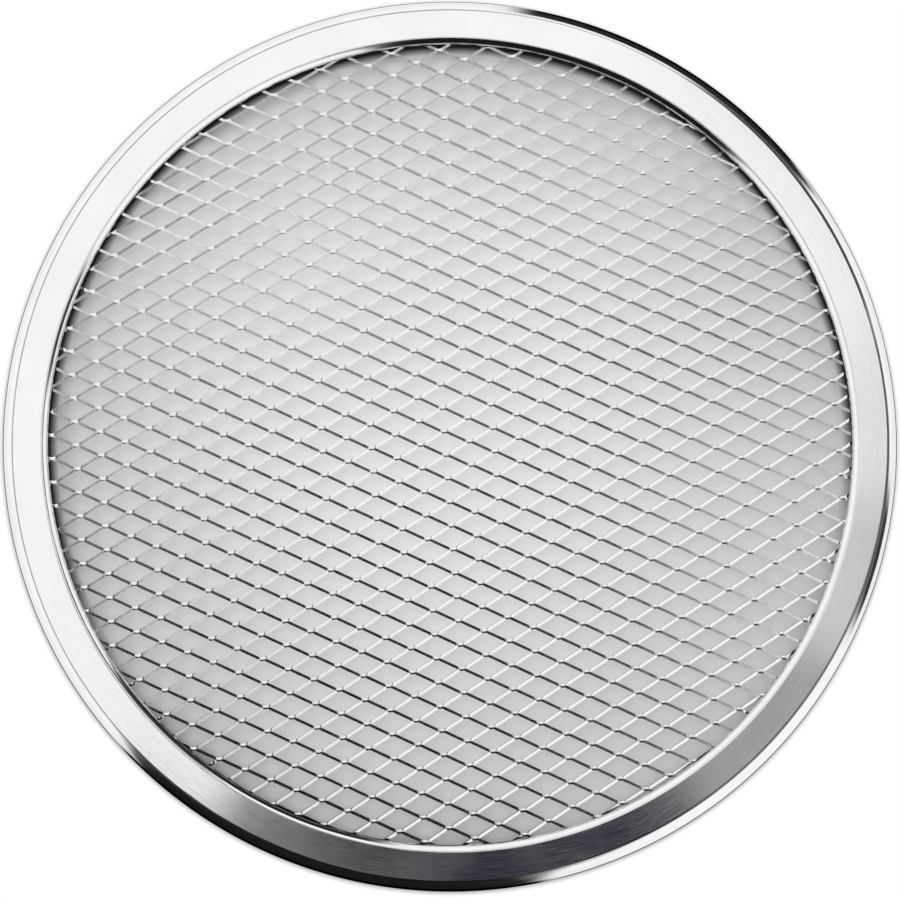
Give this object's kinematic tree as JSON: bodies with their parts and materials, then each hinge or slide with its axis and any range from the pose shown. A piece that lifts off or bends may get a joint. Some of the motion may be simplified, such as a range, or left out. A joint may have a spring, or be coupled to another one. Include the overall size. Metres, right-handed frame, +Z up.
{
  "type": "pizza screen",
  "caption": "Round flat baking screen: a disc of expanded aluminium mesh pinched in a folded aluminium rim, so that air reaches a pizza's base in the oven.",
  "frame": {"origin": "centre of the plane that the screen rests on, under the middle of the disc", "axes": "+Z up, square to the disc; +X along the long way of the mesh's openings; +Y along their short way"},
  "size_m": [0.254, 0.254, 0.005],
  "materials": {
    "rim_aluminium": "bright rolled sheet with a fine grain round the rim",
    "mesh_aluminium": "bright bare metal with cut edges"
  },
  "bodies": {
    "root": {"rim": "rim_aluminium", "expanded_mesh": "mesh_aluminium"}
  },
  "joints": []
}
